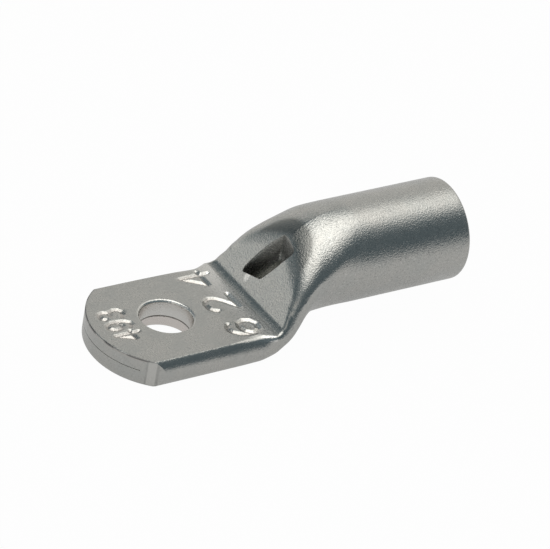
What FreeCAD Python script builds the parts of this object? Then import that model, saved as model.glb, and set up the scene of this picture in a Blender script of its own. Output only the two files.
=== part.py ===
import FreeCAD, Part
import Sketcher
import os

# Tubular copper cable lug, pressed from one length of round tube and tin plated.
# Origin: centre of the stud hole on the contact face. +X runs to the barrel mouth, +Z is up.

doc = FreeCAD.newDocument("CableLug")

# Driving sizes in millimetres and degrees. Each one is written once, here.
SIZES = [
    ("BarrelDiameter", 16.5, "outside diameter of the tube"),
    ("WallThickness", 2.5, "wall of the tube"),
    ("BarrelLift", 2.0, "underside of the barrel above the contact face"),
    ("MouthReach", 50.35, "stud hole centre to the barrel mouth"),
    ("MouthRounding", 0.4, "outer edge of the mouth"),
    ("MouthLeadIn", 0.5, "inner edge of the mouth"),
    ("PalmThickness", 4.8, "two walls pressed together"),
    ("PalmWidthTip", 22.3, "width of the palm at its tip"),
    ("PalmWidthBend", 21.9, "width of the palm at the bend"),
    ("TipReach", 12.75, "stud hole centre to the end of the palm"),
    ("TipRadius", 12.55, "radius of the cropped end in plan"),
    ("TipRounding", 0.35, "upper edge of the cropped end"),
    ("TipUnderRounding", 0.8, "lower edge of the cropped end"),
    ("CreaseReach", 14.6, "stud hole centre to the foot of the ramp"),
    ("CreaseRadius", 1.5, "hollow at the foot of the ramp"),
    ("RampAngle", 60.0, "slope of the pressed ramp"),
    ("ShoulderStart", 11.0, "stud hole centre to where the underside leaves the contact face"),
    ("ShoulderLength", 14.5, "length over which the flat tube turns round"),
    ("EdgeRounding", 0.8, "upper long edges of the palm and the foot of the ramp's edge"),
    ("CrownRounding", 3.0, "the ramp's edge where it crosses the crown"),
    ("UnderRounding", 1.8, "lower long edges of the palm"),
    ("StudHoleDiameter", 8.4, "clearance hole for the stud"),
    ("StudHoleRim", 0.35, "upper edge of the stud hole, rolled in by the punch"),
    ("WindowStart", 1.6, "foot of the ramp to the low end of the window, in plan"),
    ("WindowLength", 4.4, "inspection window along the barrel, in plan"),
    ("WindowWidth", 4.5, "inspection window across the barrel, in plan"),
    ("WindowOffset", 2.15, "middle of the window's low end from the middle plane"),
    ("WindowDrift", 3.1, "how far the window runs sideways over its length"),
    ("WindowSlant", 0.6, "how far the near side of the window's low end lies towards the barrel"),
    ("WindowCorner", 0.4, "corners of the window"),
    ("TrimMargin", 4.0, "how far cutting shapes reach past what they cut"),
]
sheet = doc.addObject("Spreadsheet::Sheet", "Sizes")
for row, (alias, size, note) in enumerate(SIZES, start=1):
    sheet.set("A%d" % row, alias)
    sheet.set("B%d" % row, str(size))
    sheet.set("C%d" % row, note)
    sheet.setAlias("B%d" % row, alias)
doc.recompute()


def measure(formula):
    """Present number of a formula on the sheet."""
    found = sheet.evalExpression(formula)
    return float(getattr(found, "Value", found))


def add(kind, name, links=None, **settings):
    """Object of the document, its sizes bound to formulas on the sheet."""
    obj = doc.addObject(kind, name)
    for prop, setting in settings.items():
        setattr(obj, prop, setting)
    for prop, formula in (links or {}).items():
        obj.setExpression(prop, formula)
    return obj


# Levels and lengths that several features share, as formulas on the sheet.
RADIUS = "(Sizes.BarrelDiameter / 2)"
AXIS = "(Sizes.BarrelLift + Sizes.BarrelDiameter / 2)"
CROWN = "(Sizes.BarrelLift + Sizes.BarrelDiameter)"
HALF_TIP = "(Sizes.PalmWidthTip / 2)"
HALF_BEND = "(Sizes.PalmWidthBend / 2)"
MID_PALM = "(Sizes.PalmThickness / 2)"
SHOULDER_END = "(Sizes.ShoulderStart + Sizes.ShoulderLength)"
ROUND_START = "(Sizes.ShoulderStart + 1.15 * Sizes.ShoulderLength)"
ABOVE = "(%s + Sizes.TrimMargin)" % CROWN
BESIDE = "(%s + Sizes.TrimMargin)" % HALF_TIP
BEFORE = "-(Sizes.TipReach + Sizes.TrimMargin)"
BEYOND = "(Sizes.MouthReach + Sizes.TrimMargin)"

# Across the tube: local X up, local Y sideways. From the side: local X along, local Y up.
ACROSS = FreeCAD.Rotation(
    FreeCAD.Vector(0, 0, 1), FreeCAD.Vector(0, 1, 0), FreeCAD.Vector(-1, 0, 0), "ZXY")
FROM_SIDE = FreeCAD.Rotation(
    FreeCAD.Vector(1, 0, 0), FreeCAD.Vector(0, 0, 1), FreeCAD.Vector(0, -1, 0), "ZXY")
FROM_ABOVE = FreeCAD.Rotation()
ALONG = FreeCAD.Rotation(FreeCAD.Vector(0, 1, 0), 90)


def oval(name, reach, half_width, middle, crown):
    """Upright oval section of the shoulder."""
    curve = add("Part::Ellipse", name, Placement=FreeCAD.Placement(FreeCAD.Vector(), ACROSS))
    curve.setExpression("MinorRadius", half_width)
    curve.setExpression("MajorRadius", "%s - (%s)" % (crown, middle))
    curve.setExpression("Placement.Base.x", reach)
    curve.setExpression("Placement.Base.z", middle)
    return curve


def ring(name, reach, radius):
    """Round section of the barrel."""
    curve = add("Part::Circle", name, Placement=FreeCAD.Placement(FreeCAD.Vector(), ACROSS))
    curve.setExpression("Radius", radius)
    curve.setExpression("Placement.Base.x", reach)
    curve.setExpression("Placement.Base.z", AXIS)
    return curve


def outline(name, rotation, corners):
    """Closed sketch of straight lines, each corner held by a formula for each axis."""
    sketch = add("Sketcher::SketchObject", name, Placement=FreeCAD.Placement(FreeCAD.Vector(), rotation))
    points = [FreeCAD.Vector(measure(along), measure(up), 0) for along, up in corners]
    count = len(points)
    for index in range(count):
        sketch.addGeometry(Part.LineSegment(points[index], points[(index + 1) % count]), False)
    for index in range(count):
        sketch.addConstraint(Sketcher.Constraint("Coincident", index, 2, (index + 1) % count, 1))
    for index, (along, up) in enumerate(corners):
        for kind, formula, here in (
            ("DistanceX", along, points[index].x),
            ("DistanceY", up, points[index].y),
        ):
            number = sketch.addConstraint(Sketcher.Constraint(kind, -1, 1, index, 1, here))
            label = "%s%d" % (kind, index)
            sketch.renameConstraint(number, label)
            sketch.setExpression("Constraints." + label, formula)
    return sketch


def extrude(name, sketch, direction, forward, back="0"):
    """Straight solid from an outline."""
    solid = add("Part::Extrusion", name, Base=sketch, DirMode="Custom", Dir=direction, Solid=True)
    solid.setExpression("LengthFwd", forward)
    solid.setExpression("LengthRev", back)
    return solid


def rod(name, radius, start, end):
    """Round bar along the barrel's axis."""
    bar = add("Part::Cylinder", name, Placement=FreeCAD.Placement(FreeCAD.Vector(), ALONG))
    bar.setExpression("Radius", radius)
    bar.setExpression("Height", "%s - (%s)" % (end, start))
    bar.setExpression("Placement.Base.x", start)
    bar.setExpression("Placement.Base.z", AXIS)
    return bar


def rolled(name, base, radius, wanted, upper_radius=None):
    """Round every edge of the base that passes a test on the edge and its box. Given a second
    radius, the rounding of a rising edge grows to it at the edge's upper end."""
    doc.recompute()
    size = measure(radius)
    chosen = []
    for number, edge in enumerate(base.Shape.Edges, start=1):
        if wanted(edge, edge.BoundBox):
            rises = upper_radius and edge.BoundBox.ZLength > edge.BoundBox.XLength
            chosen.append((number, measure(upper_radius) if rises else size, size))
    fillet = add("Part::Fillet", name, Base=base)
    fillet.Edges = chosen
    return fillet


# The tube before the ramp is pressed into it. Each station of the shoulder gives how far along it
# lies, how far its width and its middle have gone from the palm's to the barrel's, and its crown as
# a share of the barrel's.
STATIONS = [
    ("Station0", 0.00, 0.00, 0.000, 0.900),
    ("Station1", 0.15, 0.02, 0.010, 0.900),
    ("Station2", 0.31, 0.14, 0.115, 0.900),
    ("Station3", 0.48, 0.47, 0.420, 0.92),
    ("Station4", 0.65, 0.82, 0.770, 0.955),
    ("Station5", 0.82, 0.98, 0.955, 0.99),
]


def shoulder_sections(prefix, inset):
    """Sections from the palm to the barrel, set in from the outside of the tube."""
    made = []
    for name, along, width, rise, crown in STATIONS:
        made.append(oval(
            prefix + name,
            "Sizes.ShoulderStart + %g * Sizes.ShoulderLength" % along,
            "%s + %g * (%s - %s) - %s" % (HALF_BEND, width, RADIUS, HALF_BEND, inset),
            "%s + %g * (%s - %s)" % (MID_PALM, rise, AXIS, MID_PALM),
            "%g * %s - %s" % (crown, CROWN, inset),
        ))
    for name, along in (("Round0", 1.0), ("Round1", 1.15)):
        made.append(ring(
            prefix + name,
            "Sizes.ShoulderStart + %g * Sizes.ShoulderLength" % along,
            "%s - %s" % (RADIUS, inset),
        ))
    return made


def lofted(name, sections, ruled):
    """Solid drawn through sections."""
    return add("Part::Loft", name, Sections=sections, Solid=True, Ruled=ruled, Closed=False)


shoulder = lofted("ShoulderBlank", shoulder_sections("Outer", "0"), False)
palm = lofted("PalmBlank", [
    oval("PalmTip", BEFORE, HALF_TIP, MID_PALM, "0.9 * " + CROWN),
    oval("PalmFoot", "Sizes.ShoulderStart", HALF_BEND, MID_PALM, "0.9 * " + CROWN),
], True)
barrel = rod("BarrelBlank", RADIUS, ROUND_START, "Sizes.MouthReach")
tube = add("Part::MultiFuse", "TubeBlank", Shapes=[palm, shoulder, barrel], Refine=True)

# What the two dies leave between them, seen from the side: the flat palm, the straight ramp, and an
# underside that rises to the barrel.
RAMP_TOP = "Sizes.CreaseReach + (%s - Sizes.PalmThickness) / tan(Sizes.RampAngle)" % ABOVE
HEEL = "Sizes.ShoulderStart + 0.45 * (%s - Sizes.ShoulderStart)" % SHOULDER_END
die_space = extrude("DieSpace", outline("SideView", FROM_SIDE, [
    (BEFORE, "0"),
    ("Sizes.ShoulderStart", "0"),
    (HEEL, "0.75 * Sizes.BarrelLift"),
    (SHOULDER_END, "0.995 * Sizes.BarrelLift"),
    (BEYOND, "0.995 * Sizes.BarrelLift"),
    (BEYOND, ABOVE),
    (RAMP_TOP, ABOVE),
    ("Sizes.CreaseReach", "Sizes.PalmThickness"),
    (BEFORE, "Sizes.PalmThickness"),
]), FreeCAD.Vector(0, 1, 0), BESIDE, BESIDE)
pressed = add("Part::MultiCommon", "PressedTube", Shapes=[tube, die_space], Refine=True)

# Edges that the metal rolled over: the foot of the ramp, the long edges above and below.
crease_x = measure("Sizes.CreaseReach")
palm_top = measure("Sizes.PalmThickness")
rise_x = measure("Sizes.ShoulderStart")
crease = rolled(
    "Crease", pressed, "Sizes.CreaseRadius",
    lambda edge, box: box.XLength < 0.01 and abs(box.XMin - crease_x) < 0.01 and box.YLength > palm_top)
ridges = rolled(
    "Ridges", crease, "Sizes.EdgeRounding",
    lambda edge, box: (box.ZMin > palm_top - 0.01 and box.ZLength > 0.1 and box.XLength > 0.1
                       and box.YMin * box.YMax > -0.01 and box.XMin < crease_x + 2),
    "Sizes.CrownRounding")
undersides = rolled(
    "Undersides", ridges, "Sizes.UnderRounding",
    lambda edge, box: box.ZMax < 0.01 and box.XMax < rise_x + 0.01 and box.XLength > palm_top)

# The end of the palm is cropped to an arc whose lower edge the shear rolls in.
crop_disc = add("Part::Cylinder", "CropDisc", {
    "Radius": "Sizes.TipRadius",
    "Height": "Sizes.PalmThickness",
    "Placement.Base.x": "Sizes.TipRadius - Sizes.TipReach",
})
crop_upper = rolled("CropUpper", crop_disc, "Sizes.TipRounding", lambda edge, box: box.ZMin > 0.01)
crop_lower = rolled("CropLower", crop_upper, "Sizes.TipUnderRounding", lambda edge, box: box.ZMax < 0.01)
crop_rest = add("Part::Box", "CropRest", {
    "Length": BEYOND,
    "Width": "2 * " + BESIDE,
    "Height": ABOVE + " + Sizes.TrimMargin",
    "Placement.Base.x": "Sizes.TipRadius - Sizes.TipReach",
    "Placement.Base.y": "-" + BESIDE,
    "Placement.Base.z": "-Sizes.TrimMargin",
})
crop = add("Part::MultiFuse", "CropSpace", Shapes=[crop_lower, crop_rest], Refine=True)
cropped = add("Part::MultiCommon", "CroppedTube", Shapes=[undersides, crop], Refine=True)

# The hollow of the tube: round in the barrel, closing to an edge behind the foot of the ramp.
hollow_blank = add("Part::MultiFuse", "HollowBlank", Shapes=[
    lofted("HollowShoulder", shoulder_sections("Inner", "Sizes.WallThickness"), False),
    rod("BarrelBore", "%s - Sizes.WallThickness" % RADIUS, ROUND_START, BEYOND),
], Refine=True)
INNER_FOOT = "(Sizes.CreaseReach + Sizes.WallThickness / sin(Sizes.RampAngle))"
INNER_TOP = "%s + (%s - Sizes.PalmThickness) / tan(Sizes.RampAngle)" % (INNER_FOOT, ABOVE)
INNER_FLOOR = "Sizes.WallThickness"
hollow_space = extrude("HollowSpace", outline("HollowView", FROM_SIDE, [
    (INNER_FOOT + " - (Sizes.PalmThickness - Sizes.WallThickness) / tan(Sizes.RampAngle)", INNER_FLOOR),
    (SHOULDER_END, "Sizes.BarrelLift + Sizes.WallThickness"),
    (SHOULDER_END, "Sizes.BarrelLift"),
    (BEYOND, "Sizes.BarrelLift"),
    (BEYOND, ABOVE),
    (INNER_TOP, ABOVE),
]), FreeCAD.Vector(0, 1, 0), BESIDE, BESIDE)
hollow = add("Part::MultiCommon", "Hollow", Shapes=[hollow_blank, hollow_space], Refine=True)

# The inspection window, cut down through the ramp into the hollow and a little askew.
WINDOW_FOOT = "(Sizes.CreaseReach + Sizes.WindowStart)"
WINDOW_END = "(%s + Sizes.WindowLength)" % WINDOW_FOOT
WINDOW_LEFT = "(Sizes.WindowOffset + Sizes.WindowWidth / 2)"
WINDOW_RIGHT = "(Sizes.WindowOffset - Sizes.WindowWidth / 2)"
window_post = extrude("WindowPost", outline("WindowView", FROM_ABOVE, [
    (WINDOW_FOOT, WINDOW_LEFT),
    (WINDOW_FOOT + " + Sizes.WindowSlant", WINDOW_RIGHT),
    (WINDOW_END, WINDOW_RIGHT + " - Sizes.WindowDrift"),
    (WINDOW_END + " + Sizes.WindowSlant / 2", WINDOW_LEFT + " - Sizes.WindowDrift"),
]), FreeCAD.Vector(0, 0, 1), ABOVE, "-(Sizes.WallThickness + 1.6)")
window = rolled(
    "Window", window_post, "Sizes.WindowCorner",
    lambda edge, box: box.XLength < 0.01 and box.YLength < 0.01)

# The stud hole, through both walls.
stud_hole = add("Part::Cylinder", "StudHole", {
    "Radius": "Sizes.StudHoleDiameter / 2",
    "Height": "Sizes.PalmThickness + 2 * Sizes.TrimMargin",
    "Placement.Base.z": "-Sizes.TrimMargin",
})
opened = add("Part::MultiFuse", "Openings", Shapes=[hollow, window, stud_hole], Refine=True)
cut = add("Part::Cut", "OpenedTube", Base=cropped, Tool=opened)
hole_r = measure("Sizes.StudHoleDiameter / 2")
hole_rim = rolled(
    "HoleRim", cut, "Sizes.StudHoleRim",
    lambda edge, box: (abs(box.ZMin - palm_top) < 0.01 and abs(box.XMax - hole_r) < 0.01
                       and abs(box.YMax - hole_r) < 0.01))
mouth_x = measure("Sizes.MouthReach")
bore_r = measure("%s - Sizes.WallThickness" % RADIUS)
mouth_outside = rolled(
    "MouthOutside", hole_rim, "Sizes.MouthRounding",
    lambda edge, box: box.XMin > mouth_x - 0.01 and box.YLength > 2 * bore_r + 0.1)
lug = rolled(
    "CableLug", mouth_outside, "Sizes.MouthLeadIn",
    lambda edge, box: box.XMin > mouth_x - 0.01 and box.YLength < 2 * bore_r + 0.01)
lug.Label = "cable_lug"
doc.recompute()

# Every feature has to have built before anything is written.
for obj in doc.Objects:
    if "Invalid" in obj.State or "Error" in obj.State:
        raise RuntimeError("%s did not build: %s" % (obj.Label, obj.State))
pieces = [lug]
os.makedirs("parts", exist_ok=True)
for piece in pieces:
    shape = piece.Shape
    if shape.isNull() or not shape.isValid() or len(shape.Solids) != 1:
        raise RuntimeError("%s is not one valid solid" % piece.Label)
    shape.exportStep("parts/%s.step" % piece.Label)
    box = shape.optimalBoundingBox()
    print("%s: %.1f mm3, x %.2f to %.2f, y %.2f to %.2f, z %.2f to %.2f" % (
        piece.Label, shape.Volume, box.XMin, box.XMax, box.YMin, box.YMax, box.ZMin, box.ZMax))
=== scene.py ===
import math

import bmesh
import bpy
import numpy as np
from mathutils import Matrix, Vector


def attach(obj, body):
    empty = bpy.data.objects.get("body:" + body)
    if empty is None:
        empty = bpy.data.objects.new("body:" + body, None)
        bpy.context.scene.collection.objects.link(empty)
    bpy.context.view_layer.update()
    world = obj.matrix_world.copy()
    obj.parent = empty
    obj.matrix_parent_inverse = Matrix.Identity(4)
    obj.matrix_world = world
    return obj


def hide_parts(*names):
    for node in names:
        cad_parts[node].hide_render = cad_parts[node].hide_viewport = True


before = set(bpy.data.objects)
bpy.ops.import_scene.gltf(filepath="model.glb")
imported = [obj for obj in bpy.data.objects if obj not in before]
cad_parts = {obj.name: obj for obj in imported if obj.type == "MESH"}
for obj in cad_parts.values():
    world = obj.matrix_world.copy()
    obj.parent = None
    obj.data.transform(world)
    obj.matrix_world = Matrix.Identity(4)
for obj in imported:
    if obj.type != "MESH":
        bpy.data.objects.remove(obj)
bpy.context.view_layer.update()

# THE PRESSED TUBE. One length of round copper tube, squeezed between two dies so that one end is a
# flat palm of two walls and the other stays round, with a straight ramp between them. It is drawn as
# sections across the tube, in millimetres, with x along it and z up from the contact face.

MM = 0.001
barrel_radius = 8.25
barrel_axis = 10.25
mouth_x = 50.35
wall = 2.5
palm_top = 4.8
palm_end = 13.0
crease_x = 14.6
crease_roll = 1.6
ramp_angle = math.radians(60.0)
ramp_slope = math.tan(ramp_angle)


def through(points, at):
    """Smooth curve through points that never overshoots them."""
    px, py = np.array(points, float).T
    step = np.diff(px)
    slope = np.diff(py) / step
    tangent = np.zeros(len(px))
    tangent[0], tangent[-1] = slope[0], slope[-1]
    for i in range(1, len(px) - 1):
        if slope[i - 1] * slope[i] > 0:
            before, after = 2 * step[i] + step[i - 1], step[i] + 2 * step[i - 1]
            tangent[i] = (before + after) / (before / slope[i - 1] + after / slope[i])
    at = np.clip(np.asarray(at, float), px[0], px[-1])
    i = np.clip(np.searchsorted(px, at, side="right") - 1, 0, len(px) - 2)
    u = (at - px[i]) / step[i]
    return (
        (1 + 2 * u) * (1 - u) ** 2 * py[i]
        + u * (1 - u) ** 2 * step[i] * tangent[i]
        + u * u * (3 - 2 * u) * py[i + 1]
        + u * u * (u - 1) * step[i] * tangent[i + 1]
    )


def top_line(x):
    """Height and steepness of the die that presses the palm and the ramp."""
    reach = crease_roll * math.tan(ramp_angle / 2)
    centre = crease_x - reach
    if x <= centre:
        return palm_top, 0.0
    if x < crease_x + reach * math.cos(ramp_angle):
        drop = math.sqrt(crease_roll**2 - (x - centre) ** 2)
        return palm_top + crease_roll - drop, (x - centre) / drop
    return palm_top + ramp_slope * (x - crease_x), ramp_slope


# Along the tube: its half width, the height where its upper curve starts, the crown of that curve and
# how far from the middle plane it starts, then where its lower curve starts, how far from the middle
# plane, and the underside. Behind the ramp the barrel is still pressed a little low and broad.
WIDTH = [(-15, 11.2), (0, 11.18), (8, 11.12), (11, 11.02), (13, 10.97), (15.5, 10.95), (18, 10.15), (19.5, 9.55),
         (21, 9.05), (23, 8.72), (25.5, 8.44), (29, 8.25), (52, 8.25)]
START = [(-15, 2.8), (0, 2.6), (8, 2.3), (11, 2.15), (13, 3.2), (14.6, 7.35), (17, 8.15), (20, 9.95), (23, 10.9),
         (25.5, 11.5), (31, 10.25), (52, 10.25)]
CROWN = [(-15, 5.3), (0, 5.4), (8, 5.55), (11, 5.65), (13, 6.8), (14.6, 19.0), (17, 17.4), (20, 16.75), (22, 17.15),
         (24, 17.75), (26, 18.3), (28, 18.35), (31, 18.5), (52, 18.5)]
INSET = [(-15, 8.5), (0, 8.3), (8, 7.8), (11, 7.52), (13, 7.45), (14.6, 0.0), (52, 0.0)]
LOW = [(-15, 2.0), (11, 2.0), (14, 3.0), (17, 4.65), (20, 8.4), (23, 10.9), (25.5, 10.9), (31, 10.25), (52, 10.25)]
SOLE = [(-15, 9.2), (11, 9.0), (14, 8.4), (17, 4.9), (20, 0.2), (23, 0.1), (25.5, 0.0), (52, 0.0)]
UNDER = [(-15, 0.0), (11, 0.0), (14, 0.3), (16, 1.45), (18, 1.75), (20, 2.0), (52, 2.0)]
# How far the metal rolls over where the die's face ends: a crisp edge along the palm that softens
# towards the bend, and a broad one at the crown of the ramp.
RIDGE = [(-15, 0.03), (6, 0.03), (9.5, 0.4), (13, 0.5), (14.6, 0.95), (15.45, 1.6), (16.6, 2.4), (18, 2.4),
         (21, 2.4), (24, 2.2), (31, 2.0), (52, 2.0)]
# On each side of the ramp the shoulder is pressed to a flat facet: its outward direction along the tube,
# to the side and up, how far out it lies, and where along the tube it starts.
facet_back, facet_side, facet_up, facet_reach, facet_from = 0.41, 0.30, 0.861, 5.72, 13.4
# How far the top columns and the bottom columns of the mesh reach to each side.
TOP_REACH = [(13, 9.9), (14.9, 10.1), (15.45, 9.77), (16.6, 9.0), (17.5, 8.3), (18.5, 7.2), (20, 6.9),
             (26, 6.6), (52, 6.6)]
SOLE_REACH = [(-15, 9.2), (11, 9.0), (14, 8.2), (17, 6.6), (20, 5.6), (25.5, 5.6), (52, 5.6)]

top_columns, side_columns, sole_columns = 150, 46, 40
fan = np.linspace(0.0, math.pi, 1400)
outside_reach, halvings = 30.0, 36


def section(x):
    """One section across the tube at x, as y and z, counter-clockwise seen from the mouth."""
    width, start, crown, inset, low, sole, under, ridge = (
        float(through(t, x)) for t in (WIDTH, START, CROWN, INSET, LOW, SOLE, UNDER, RIDGE))
    crest, steep = top_line(x)
    rise, top = crown - start, min(crest, crown)
    centre = (top + under) / 2
    out_y, out_z = width * np.sin(fan), (top - centre) * np.cos(fan)
    out_y, out_z = out_y / np.hypot(out_y, out_z), out_z / np.hypot(out_y, out_z)

    # The blank with the die's face and the facet pressed in, found along each bearing by halving.
    def beyond(reach):
        y, z = reach * out_y, centre + reach * out_z
        over = np.hypot(np.clip((y - inset) / (width - inset), 0, None), (z - start) / rise) - 1
        below = np.hypot(np.clip((y - sole) / (width - sole), 0, None), (low - z) / (low - under)) - 1
        body = np.where(z > start, over * min(width - inset, rise),
                        np.where(z < low, below * min(width - sole, low - under), y - width))
        face = (z - crest) / math.hypot(1.0, steep)
        facet = facet_side * y + facet_up * z - facet_back * max(x, facet_from) - facet_reach
        return np.sqrt(sum(np.clip(part + ridge, 0, None) ** 2 for part in (body, face, facet))) - ridge

    near, far = np.zeros(len(fan)), np.full(len(fan), outside_reach)
    for _ in range(halvings):
        middle = (near + far) / 2
        inside = beyond(middle) < 0
        near, far = np.where(inside, middle, near), np.where(inside, far, middle)
    y, z = near * out_y, centre + near * out_z

    # Columns of the mesh: even in width over the top and the sole, even in length down the side. On the
    # palm the top columns end just inside the edge's roll.
    widest = int(np.argmax(y))
    gone = np.concatenate([[0.0], np.cumsum(np.hypot(np.diff(y), np.diff(z)))])
    top_reach, sole_reach = float(through(TOP_REACH, x)), float(through(SOLE_REACH, x))
    if x < palm_end:
        top_reach = inset + (width - inset) * math.sqrt(max(0.0, 1 - ((crest - start) / rise) ** 2)) - ridge * 0.9
    spots = np.linspace(np.interp(top_reach, y[:widest + 1], gone[:widest + 1]),
                        np.interp(-sole_reach, -y[widest:], gone[widest:]), side_columns + 2)[1:-1]
    side_y, side_z = np.interp(spots, gone, y), np.interp(spots, gone, z)
    y_top = np.linspace(-top_reach, top_reach, top_columns)
    z_top = np.interp(np.abs(y_top), y[:widest + 1], z[:widest + 1])
    y_sole = np.linspace(sole_reach, -sole_reach, sole_columns)
    z_sole = np.interp(-np.abs(y_sole), -y[widest:], z[widest:])
    return (np.concatenate([y_top, side_y, y_sole, -side_y[::-1]]),
            np.concatenate([z_top, side_z, z_sole, side_z[::-1]]))


def spaced(*spans):
    """Stations along the tube: each span goes on to its end in steps of about its size."""
    made = [spans[0][0]]
    for end, step in spans[1:]:
        count = max(1, round((end - made[-1]) / step))
        made += list(np.linspace(made[-1], end, count + 1)[1:])
    return np.array(made)


def solid(name, rings, closed=False):
    """Closed mesh through rings of points, millimetres in and metres out."""
    count, around = len(rings), len(rings[0])
    points = np.concatenate(rings) * MM
    i = np.arange(around)
    j = (i + 1) % around
    quads = [np.stack([k * around + i, (k + 1) * around + i, (k + 1) * around + j, k * around + j], axis=1)
             for k in range(count - 1)]
    if closed:
        last = (count - 1) * around
        quads.append(np.stack([last + i, i, j, last + j], axis=1))
    faces = [tuple(int(n) for n in f) for f in np.concatenate(quads)]
    if not closed:
        faces.append(tuple(range(around)))
        faces.append(tuple((count - 1) * around + n for n in reversed(range(around))))
    mesh = bpy.data.meshes.new(name)
    mesh.from_pydata([tuple(p) for p in points], [], faces)
    mesh.update()
    made = bpy.data.objects.new(name, mesh)
    bpy.context.scene.collection.objects.link(made)
    work = bmesh.new()
    work.from_mesh(mesh)
    bmesh.ops.recalc_face_normals(work, faces=work.faces)
    work.to_mesh(mesh)
    work.free()
    return made


# THE STRUCK NUMBERS. Steel punches strike plain numbers into the palm, three near the bend and three near
# the tip, and push up a low burr beside each stroke. A number is a set of strokes in a box one wide and
# one high; the numbers read along +y with their tops towards the tip.
NUMBERS = {
    "2": [[(0.06, 0.76), (0.14, 0.9), (0.32, 0.99), (0.6, 1.0), (0.82, 0.9), (0.92, 0.73), (0.86, 0.55),
           (0.66, 0.38), (0.05, 0.0), (0.98, 0.0)]],
    "3": [[(0.06, 0.86), (0.24, 0.98), (0.56, 1.0), (0.82, 0.9), (0.88, 0.74), (0.76, 0.59), (0.46, 0.53),
           (0.8, 0.45), (0.93, 0.28), (0.86, 0.1), (0.6, 0.0), (0.28, 0.01), (0.04, 0.14)]],
    "4": [[(0.74, 0.0), (0.74, 1.0), (0.0, 0.3), (1.0, 0.3)]],
    "6": [[(0.88, 0.88), (0.66, 1.0), (0.4, 0.97), (0.17, 0.78), (0.05, 0.5), (0.07, 0.22), (0.26, 0.03),
           (0.6, 0.0), (0.86, 0.12), (0.94, 0.32), (0.84, 0.52), (0.58, 0.6), (0.28, 0.54), (0.08, 0.36)]],
    "9": [[(0.12, 0.12), (0.34, 0.0), (0.6, 0.03), (0.83, 0.22), (0.95, 0.5), (0.93, 0.78), (0.74, 0.97),
           (0.4, 1.0), (0.14, 0.88), (0.06, 0.68), (0.16, 0.48), (0.42, 0.4), (0.72, 0.46), (0.92, 0.64)]],
}
# Each number, the place of its foot's left corner, its width and its height.
STRUCK = [("4", (12.25, 5.1), 3.9, 5.0), ("2", (12.3, -1.8), 3.9, 4.9), ("6", (12.3, -8.7), 3.9, 4.9),
          ("3", (-6.1, 2.1), 2.2, 4.0), ("9", (-6.2, -0.8), 2.2, 4.0), ("4", (-6.2, -3.6), 2.1, 4.0)]
stroke_half, stroke_depth = 0.5, 0.26
burr_high, burr_off, burr_wide = 0.03, 0.16, 0.11


def struck(x, y):
    """How far the face is moved up or down by the numbers at points of the palm."""
    nearest = np.full(x.shape, 9.0)
    for name, (foot_x, foot_y), wide, high in STRUCK:
        for stroke in NUMBERS[name]:
            ends = [(foot_x - v * high, foot_y + u * wide) for u, v in stroke]
            for (ax, ay), (bx, by) in zip(ends, ends[1:]):
                dx, dy = bx - ax, by - ay
                t = np.clip(((x - ax) * dx + (y - ay) * dy) / (dx * dx + dy * dy), 0, 1)
                nearest = np.minimum(nearest, np.hypot(x - ax - t * dx, y - ay - t * dy))
    groove = -stroke_depth * (1 - np.clip(nearest / stroke_half, 0, 1))
    return groove + burr_high * np.exp(-(((nearest - stroke_half - burr_off) / burr_wide) ** 2))


# THE LUG'S SKIN. The sections are set close together under the numbers, at the bend and over the shoulder,
# and far apart along the plain barrel. The mouth is cut square and its outer edge is broken.
mouth_ease = 0.4
rings = []
for x in spaced((-14.6,), (-10.8, 0.4), (-5.7, 0.13), (6.9, 0.6), (12.7, 0.13), (13.6, 0.2), (15.5, 0.08),
                (17.2, 0.12), (26.5, 0.18), (49.9, 0.9)):
    y, z = section(x)
    if x < palm_end:
        z[:top_columns] += struck(np.full(top_columns, x), y[:top_columns])
    rings.append(np.stack([np.full(len(y), x), y, z], axis=1))
y, z = section(mouth_x)
for turn in np.linspace(0, math.pi / 2, 6)[1:]:
    share = 1 - mouth_ease * (1 - math.cos(turn)) / barrel_radius
    rings.append(np.stack([np.full(len(y), mouth_x - mouth_ease + mouth_ease * math.sin(turn)), y * share,
                           barrel_axis + (z - barrel_axis) * share], axis=1))
lug = solid("lug", rings)


def cut(piece, tool, operation="DIFFERENCE"):
    """Take the tool's space out of the piece, or join it on, or keep only what lies within it."""
    step = piece.modifiers.new("cut", "BOOLEAN")
    step.object, step.operation, step.solver = tool, operation, "MANIFOLD"
    seen = piece.evaluated_get(bpy.context.evaluated_depsgraph_get())
    mesh = bpy.data.meshes.new_from_object(seen)
    piece.modifiers.clear()
    piece.data = mesh
    bpy.data.objects.remove(tool)


# THE CROPPED END. A shear crops the flat tube to an arc. It leaves the upper edge crisp and rolls the
# lower edge in. A disc at the tip joined to a box round the rest of the lug is what is kept of it.
tip_radius, disc_x, disc_y = 12.55, -0.2, -0.3
tip_crisp, tip_rolled = 0.12, 0.8
# Cutting shapes run this far past the faces that they cut, and the disc a hair past the palm's faces.
overrun, slight_overrun = 1.0, 0.003
body_side, body_end, body_low, body_high = 15, 60, -2.0, 22.0
quarter = np.linspace(0, math.pi / 2, 9)
round_about = np.linspace(0, 2 * math.pi, 360, endpoint=False)
edge = [(tip_radius - tip_rolled + tip_rolled * math.sin(a), tip_rolled - tip_rolled * math.cos(a) - slight_overrun)
        for a in quarter]
edge += [(tip_radius - tip_crisp + tip_crisp * math.cos(a),
          palm_top + slight_overrun - tip_crisp + tip_crisp * math.sin(a)) for a in quarter]
crop = solid("crop", [[(disc_x + r * math.cos(a), disc_y + r * math.sin(a), h) for a in round_about]
                      for r, h in edge])
keep = solid("keep", [[(disc_x, -body_side, h), (body_end, -body_side, h), (body_end, body_side, h),
                       (disc_x, body_side, h)] for h in (body_low, body_high)])
cut(crop, keep, "UNION")
cut(lug, crop, "INTERSECT")

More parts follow.
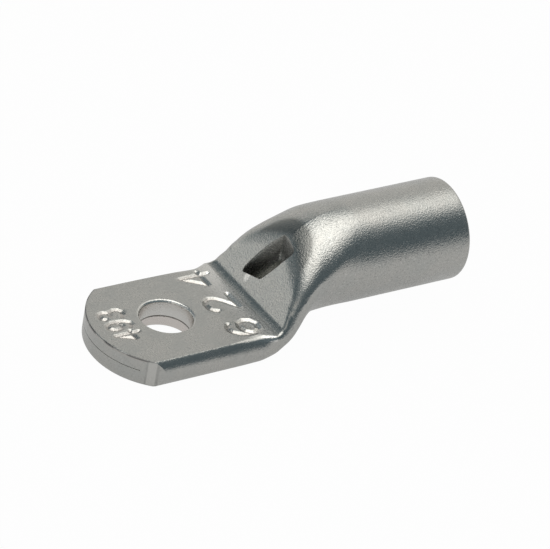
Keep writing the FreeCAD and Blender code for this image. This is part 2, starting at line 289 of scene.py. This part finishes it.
# THE HOLLOW. The bore of the barrel runs on behind the ramp, where it follows the pressed wall, and closes
# to an edge between the two walls of the palm. The mouth has a small lead for the cable.
bore_radius = barrel_radius - wall
mouth_lead = 0.5
hollow_start, edge_height = 17.05, 0.001
INNER_MIDDLE = [(16, 5.4), (20, 8.2), (25.5, 10.25), (52, 10.25)]


def inner_section(x, grown=0.0, count=120):
    """One section of the hollow at x."""
    width = float(through(WIDTH, x)) - wall + grown
    middle = float(through(INNER_MIDDLE, x))
    floor = float(through(UNDER, x)) + wall - grown
    crown = float(through(CROWN, x)) - wall + grown
    turn = np.linspace(0, 2 * math.pi, count, endpoint=False)
    y = width * np.cos(turn)
    z = middle + np.where(np.sin(turn) > 0, crown - middle, middle - floor) * np.sin(turn)
    ramp = palm_top + ramp_slope * (x - crease_x - wall / math.sin(ramp_angle))
    z = np.maximum(np.minimum(z, ramp), floor - edge_height)
    return np.stack([np.full(count, x), y, z], axis=1)


inside = [inner_section(x) for x in spaced((hollow_start,), (26.0, 0.25), (mouth_x - mouth_lead, 1.2))]
for a in quarter[1:]:
    inside.append(inner_section(mouth_x - mouth_lead + mouth_lead * math.sin(a), mouth_lead * (1 - math.cos(a))))
inside.append(inner_section(mouth_x + overrun, mouth_lead))
cut(lug, solid("hollow", inside))

# THE STUD HOLE. A punch goes through both walls from above. It draws the upper edge in to a round lip and
# leaves the lower edge a little broken.
hole_radius, hole_rim, hole_ease = 4.2, 0.5, 0.3
hole_profile = [(hole_radius + hole_ease, -overrun), (hole_radius + hole_ease, 0.0), (hole_radius, hole_ease)]
hole_profile += [(hole_radius + hole_rim - hole_rim * math.cos(a), palm_top - hole_rim + hole_rim * math.sin(a))
                 for a in quarter]
hole_profile.append((hole_radius + hole_rim, palm_top + overrun))
cut(lug, solid("punch", [[(r * math.cos(a), r * math.sin(a), h) for a in round_about] for r, h in hole_profile]))

# THE INSPECTION WINDOW. A second punch goes through the ramp into the hollow, a little askew, so that the
# end of the cable shows. Its corners are rounded and its sides bow out; it leans with its depth.
WINDOW = [(16.16, 4.55), (16.79, -0.26), (20.36, -3.06), (20.77, 1.13)]
WINDOW_ROUND = [0.35, 0.8, 0.45, 0.4]
WINDOW_BOW = [0.0, 0.14, 0.05, 0.18]
window_floor, window_above, window_true, window_lean = 3.85, 24.0, 18.0, -0.10 / 2.9


def rounded_outline(corners, radii, bows):
    """Closed outline with rounded corners and sides that bow out a little."""
    made = []
    count = len(corners)
    points = [np.array(c, float) for c in corners]
    for i in range(count):
        before, here, after = points[i - 1], points[i], points[(i + 1) % count]
        to_before = (before - here) / np.linalg.norm(before - here)
        to_after = (after - here) / np.linalg.norm(after - here)
        between = (to_before + to_after) / np.linalg.norm(to_before + to_after)
        opening = math.acos(float(np.clip(to_before @ to_after, -1, 1)))
        reach = radii[i] / math.tan(opening / 2)
        middle = here + between * radii[i] / math.sin(opening / 2)
        start, stop = here + to_before * reach - middle, here + to_after * reach - middle
        a0, a1 = math.atan2(start[1], start[0]), math.atan2(stop[1], stop[0])
        sweep = (a1 - a0 + math.pi) % (2 * math.pi) - math.pi
        for share in np.linspace(0, 1, 7):
            made.append(middle + radii[i] * np.array([math.cos(a0 + sweep * share), math.sin(a0 + sweep * share)]))
        side = after - here
        outward = np.array([side[1], -side[0]]) / np.linalg.norm(side)
        if outward @ (here - sum(points) / count) < 0:
            outward = -outward
        for share in (0.3, 0.5, 0.7):
            bow = bows[i] * (1 - (2 * share - 1) ** 2)
            made.append(here + side * share + outward * bow)
    return made


plan = rounded_outline(WINDOW, WINDOW_ROUND, WINDOW_BOW)
cut(lug, solid("window", [[(px + window_lean * (window_true - h), py, h) for px, py in plan]
                          for h in (window_floor, window_above)]))

# THE SEAM. The two walls of the palm meet in a fine line, a groove a fraction of a millimetre deep, which
# shows on the cropped end and inside the stud hole.
tip_seam_z, tip_seam_deep, tip_seam_flare, tip_seam_from, tip_seam_to = 2.7, 0.16, 0.5, 146.0, 222.0
hole_seam_z, hole_seam_deep, hole_seam_flare, hole_seam_clear = 1.9, 0.22, 0.35, 0.5


def turned(name, profile, centre_x, centre_y, start=0.0, stop=360.0, count=160):
    """Closed solid swept round an upright axis from a closed outline of radius and height."""
    whole = stop - start >= 360.0
    angles = np.radians(np.linspace(start, stop, count, endpoint=not whole))
    return solid(name, [[(centre_x + r * math.cos(a), centre_y + r * math.sin(a), h) for r, h in profile]
                        for a in angles], closed=whole)


cut(lug, turned("tip_seam", [(tip_radius - tip_seam_deep, tip_seam_z),
                             (tip_radius + overrun, tip_seam_z - tip_seam_flare),
                             (tip_radius + overrun, tip_seam_z + tip_seam_flare)],
                disc_x, disc_y, tip_seam_from, tip_seam_to))
cut(lug, turned("hole_seam", [(hole_radius + hole_seam_deep, hole_seam_z),
                              (hole_radius - hole_seam_clear, hole_seam_z + hole_seam_flare),
                              (hole_radius - hole_seam_clear, hole_seam_z - hole_seam_flare)], 0.0, 0.0))

crisp_angle = math.radians(24)
for face in lug.data.polygons:
    face.use_smooth = True
lug.data.set_sharp_from_angle(angle=crisp_angle)
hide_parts("cable_lug")
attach(lug, "root")


class Link:
    """A value inside a shader. Arithmetic on it adds Math nodes."""

    tree = None

    def __init__(self, socket):
        self.socket = socket

    @classmethod
    def node(cls, kind, settings=None, outlet=0, **inputs):
        """Any node: its settings first, then values or links for its sockets by name or number."""
        made = cls.tree.nodes.new(kind)
        for name, setting in (settings or {}).items():
            setattr(made, name, setting)
        for name, given in inputs.items():
            socket = made.inputs[int(name[1:])] if name[1:].isdigit() else made.inputs[name]
            if isinstance(given, Link):
                given.into(socket)
            else:
                socket.default_value = given
        return Link(made.outputs[outlet])

    def into(self, socket):
        """Feed a node's socket with this value."""
        Link.tree.links.new(self.socket, socket)

    def maths(self, operation, other=0.0):
        return Link.node("ShaderNodeMath", {"operation": operation}, i0=self, i1=other)

    def __add__(self, other):
        return self.maths("ADD", other)

    __radd__ = __add__

    def __mul__(self, other):
        return self.maths("MULTIPLY", other)

    __rmul__ = __mul__

    def __sub__(self, other):
        return self.maths("SUBTRACT", other)

    def __rsub__(self, other):
        return Link.node("ShaderNodeMath", {"operation": "SUBTRACT"}, i0=other, i1=self)

    def __abs__(self):
        return self.maths("ABSOLUTE")

    def step(self, low, high):
        """0 below low and 1 above high, or the other way round where low is above high, smoothly."""
        return Link.node("ShaderNodeMapRange", {"interpolation_type": "SMOOTHSTEP"},
                         i0=self, i1=low, i2=high, i3=0.0, i4=1.0)

    def near(self, spot, clear, full):
        """1 within full of the spot, and 0 from clear outwards."""
        return abs(self - spot).step(clear, full)


def mixed(share, first, second):
    """Colour between two colours."""
    return Link.node("ShaderNodeMix", {"data_type": "RGBA"}, outlet=2, i0=share, i6=first, i7=second)


def parts(vector):
    """The three parts of a vector."""
    return (Link.node("ShaderNodeSeparateXYZ", outlet=i, i0=vector) for i in range(3))


def apart(first, second):
    """Distance made of two steps at right angles."""
    return (first * first + second * second).maths("SQRT")


# THE TIN PLATE. The whole lug is plated after it is punched: a matt grey skin with a fine grain, stronger
# on the barrel than where the dies pressed it smooth. Its places are in millimetres, as the sizes are.
tin = bpy.data.materials.new("tin plate")
tin.use_nodes = True
Link.tree = tin.node_tree
plate = tin.node_tree.nodes["Principled BSDF"]
on_lug = Link.node("ShaderNodeTexCoord", outlet=3)
at_x, at_y, at_z = (part * 1000.0 for part in parts(on_lug))
off_middle = abs(at_y)
grain_per_m, fine_per_m, cloud_per_m = 3300.0, 5500.0, 260.0
grain = Link.node("ShaderNodeTexNoise", Vector=on_lug, Scale=grain_per_m, Detail=2.0, Roughness=0.6)
fine = Link.node("ShaderNodeTexNoise", Vector=on_lug, Scale=fine_per_m, Detail=1.0, Roughness=0.5)
cloud = Link.node("ShaderNodeTexNoise", Vector=on_lug, Scale=cloud_per_m, Detail=3.0, Roughness=0.6)
dies_end, barrel_starts = 18.0, 24.0
unpressed = at_x.step(dies_end, barrel_starts)
tin_grey, tin_pale = (0.425, 0.43, 0.41, 1.0), (0.46, 0.455, 0.43, 1.0)
dark_fleck, pale_fleck = (0.20, 0.20, 0.20, 1.0), (0.70, 0.69, 0.66, 1.0)
colour = mixed(cloud.step(0.3, 0.7), tin_grey, tin_pale)
colour = mixed(grain.step(0.56, 0.68) * (unpressed * 0.20 + 0.24), colour, dark_fleck)
colour = mixed(grain.step(0.42, 0.32) * (unpressed * 0.18 + 0.18), colour, pale_fleck)

# Painted shade darkens the wall where the window cuts it, and painted light brightens the bore deeper down in the
# tube.
window_wall_painted_shade, bore_painted_light = (0.25, 0.25, 0.235, 1.0), (0.75, 0.75, 0.72, 1.0)
below_ramp = (at_z - palm_top - (at_x - crease_x) * ramp_slope) * 0.5
off_axis = apart(at_y, at_z - barrel_axis)
in_tube = off_axis.step(bore_radius + 1.0, bore_radius + 0.4) * at_x.step(16.0, 16.4)
colour = mixed(below_ramp.step(-0.15, -0.6) * in_tube, colour, window_wall_painted_shade)
colour = mixed(below_ramp.step(-1.6, -2.4) * in_tube, colour, bore_painted_light)

# The punches rubbed the plate: the copper shows through a little in the numbers and low in the hole. The hole's
# wall is painted light, a painted reflection of the bright sheet beneath. Next to the bend the palm has painted
# light.
copper_tint, hole_wall_painted_light, hole_foot_copper_and_painted_light = (0.46, 0.42, 0.39, 1.0), (0.76, 0.75, 0.72, 1.0), (0.79, 0.74, 0.70, 1.0)
bend_painted_light = (0.66, 0.655, 0.63, 1.0)
from_hole = apart(at_x, at_y)
in_numbers = at_z.step(palm_top - 0.04, palm_top - 0.16) * at_z.step(4.3, 4.5) * from_hole.step(4.9, 5.3)
in_numbers = in_numbers * at_x.step(13.2, 12.6) * off_middle.step(9.5, 8.7)
colour = mixed(in_numbers * 0.4, colour, copper_tint)
in_hole = from_hole.step(hole_radius + hole_rim * 0.9, hole_radius + 0.1)
colour = mixed(in_hole * 0.9, colour, mixed(at_z.step(2.2, 1.7), hole_wall_painted_light, hole_foot_copper_and_painted_light))
painted_light_by_bend = at_x.step(9.0, 13.3) * at_x.step(13.75, 13.5) * at_z.step(3.9, 4.3)
colour = mixed(painted_light_by_bend, colour, bend_painted_light)

# The seam is a dark line in the hole, and a painted highlight on the ramp below the window stands in for the
# punch's burr.
seam_dark, burr_painted_highlight = (0.22, 0.22, 0.21, 1.0), (0.86, 0.84, 0.80, 1.0)
burr_x, burr_y = 15.95, 2.5
on_seam = at_z.near(hole_seam_z, 0.2, 0.1) * from_hole.step(4.1, 4.2) * from_hole.step(4.9, 4.7)
colour = mixed(on_seam * 0.55, colour, seam_dark)
from_burr_highlight = apart(at_x - burr_x, at_y - burr_y) + grain * 0.5
colour = mixed(from_burr_highlight.step(0.95, 0.6) * at_z.step(6.0, 6.4) * 0.7, colour, burr_painted_highlight)

# Painted shade makes a thin dark line along the tip's upper edge, and at each corner of the tip a painted
# highlight strip lies between two lines of painted shade, in place of a rounded corner.
tip_edge_painted_shade, corner_painted_highlight, corner_painted_shade = (0.12, 0.12, 0.12, 1.0), (0.60, 0.59, 0.56, 1.0), (0.24, 0.24, 0.23, 1.0)
from_disc = apart(at_x - disc_x, at_y - disc_y)
on_tip = at_x.step(-4.0, -5.0) * from_disc.step(tip_radius - 0.20, tip_radius - 0.12)
tip_edge_shade_line = on_tip * at_z.step(4.48, 4.60) * off_middle.step(10.2, 9.8) * cloud.step(0.35, 0.5)
corner_highlight_strip = on_tip * off_middle.step(9.45, 9.6) * off_middle.step(10.45, 10.3) * at_z.step(4.7, 4.5)
corner_shade_lines = on_tip * off_middle.near(9.4, 0.16, 0.04) + on_tip * off_middle.near(10.5, 0.18, 0.05)
colour = mixed(tip_edge_shade_line * 0.8, colour, tip_edge_painted_shade)
colour = mixed(corner_highlight_strip * 0.5, colour, corner_painted_highlight)
colour = mixed(corner_shade_lines * cloud.step(0.3, 0.55) * 0.45, colour, corner_painted_shade)

grain_depth = 0.000055
relief = (grain * 0.5 + fine * 0.5) * (unpressed * 0.4 + 1.0)
roughness = 0.18 + cloud * 0.10 + fine * 0.06
colour.into(plate.inputs["Base Color"])
roughness.into(plate.inputs["Roughness"])
Link.node("ShaderNodeBump", Strength=1.0, Distance=grain_depth, Height=relief).into(plate.inputs["Normal"])
plate.inputs["Metallic"].default_value = 1.0
lug.data.materials.clear()
lug.data.materials.append(tin)

# THE CAMERA. It stands at the place that the photograph was taken from, far off with a long lens and
# rolled a little, and looks at the middle of the lug.
azimuth, elevation, roll = (math.radians(a) for a in (-37.83, 33.07, 10.43))
aim, distance = Vector((19.28, 0.0, 8.16)), 621.69
focal_pixels, photo_pixels, sensor_width = 4000, 550, 36.0
back = Vector((math.sin(azimuth) * math.cos(elevation), -math.cos(azimuth) * math.cos(elevation),
               math.sin(elevation)))
right = Vector((math.cos(azimuth), math.sin(azimuth), 0.0))
up = back.cross(right)
rolled_right = right * math.cos(roll) + up * math.sin(roll)
rolled_up = up * math.cos(roll) - right * math.sin(roll)
stand = Matrix((rolled_right, rolled_up, back)).transposed().to_4x4()
stand.translation = (aim + back * distance) * MM
camera = bpy.data.objects.new("camera", bpy.data.cameras.new("camera"))
bpy.context.scene.collection.objects.link(camera)
camera.matrix_world = stand
camera.data.sensor_width = sensor_width
camera.data.lens = focal_pixels / photo_pixels * sensor_width
camera.data.clip_start = 0.01
bpy.context.scene.camera = camera

# THE WHITE SHEET. The lug lies on a wide sheet of white paper. It looks white from the camera and in the
# metal, and its own pale colour keeps the lug's shadow.
sheet_half, sheet_drop = 40, 0.00002
seen_glow, mirrored_glow = 0.975, 0.47
floor_mesh = bpy.data.meshes.new("floor")
floor_mesh.from_pydata([(-sheet_half, -sheet_half, 0), (sheet_half, -sheet_half, 0), (sheet_half, sheet_half, 0),
                        (-sheet_half, sheet_half, 0)], [], [(0, 1, 2, 3)])
floor = bpy.data.objects.new("floor", floor_mesh)
bpy.context.scene.collection.objects.link(floor)
floor.location.z = -sheet_drop
sheet = bpy.data.materials.new("white sheet")
sheet.use_nodes = True
Link.tree = sheet.node_tree
paper = sheet.node_tree.nodes["Principled BSDF"]
paper.inputs["Base Color"].default_value = (0.5, 0.5, 0.5, 1.0)
paper.inputs["Roughness"].default_value = 1.0
paper.inputs["Specular IOR Level"].default_value = 0.0
glow = Link.node("ShaderNodeEmission", Color=(1, 1, 1, 1), Strength=1.0)
glowing = (Link.node("ShaderNodeLightPath", outlet="Is Camera Ray") * seen_glow
           + Link.node("ShaderNodeLightPath", outlet="Is Glossy Ray") * mirrored_glow)
lit_paper = Link.node("ShaderNodeMixShader", i0=glowing, i1=Link(paper.outputs[0]), i2=glow)
lit_paper.into(sheet.node_tree.nodes["Material Output"].inputs[0])
floor_mesh.materials.append(sheet)

# THE LIGHT TENT. A soft box hangs overhead, pale walls stand behind and low down, and a window is far off
# to one side. The rest is the dark room round the camera, which the metal mirrors as its dark bands.
room_dark, wall_level, window_level, foot_level, box_level = 0.165, 0.585, 0.5, 0.36, 2.45
dark_is_cool, light_is_warm = (0.77, 1.0, 1.13, 1.0), (1.015, 1.0, 0.97, 1.0)
plain_level = 0.95
studio = bpy.data.worlds.new("studio")
bpy.context.scene.world = studio
studio.use_nodes = True
Link.tree = studio.node_tree
along, across, upward = parts(Link.node("ShaderNodeTexCoord", outlet=0))
back_wall = along.step(-0.22, 0.06) * across.step(-0.2, 0.05) * (upward - along * 0.28).step(0.64, 0.55)
low_wall = upward.step(0.31, 0.17) * across.step(-0.25, 0.05)
walls = 1.0 - (1.0 - back_wall) * (1.0 - low_wall)
soft_box = (across.near(0.07, 0.46, 0.14) * along.step(0.95, 0.15) * along.step(-0.60, -0.40)
            * upward.step(0.42, 0.62))
far_window = along.step(-0.50, -0.68) * across.step(-0.05, -0.25) * upward.step(0.8, 0.6)
level = (room_dark + walls * (1.0 - soft_box) * wall_level + far_window * window_level
         + low_wall * along.step(-0.1, -0.5) * foot_level + soft_box * box_level)
tint = mixed(walls + far_window + soft_box * 3.0, dark_is_cool, light_is_warm)
tent = Link.tree.nodes["Background"]
tint.into(tent.inputs[0])
level.into(tent.inputs[1])
plain = Link.node("ShaderNodeBackground", Color=(1, 1, 1, 1), Strength=plain_level)
mirrored = Link.node("ShaderNodeLightPath", outlet="Is Glossy Ray")
surroundings = Link.node("ShaderNodeMixShader", i0=mirrored, i1=plain, i2=Link(tent.outputs[0]))
surroundings.into(Link.tree.nodes["World Output"].inputs[0])
bpy.context.scene.view_settings.view_transform = "Standard"
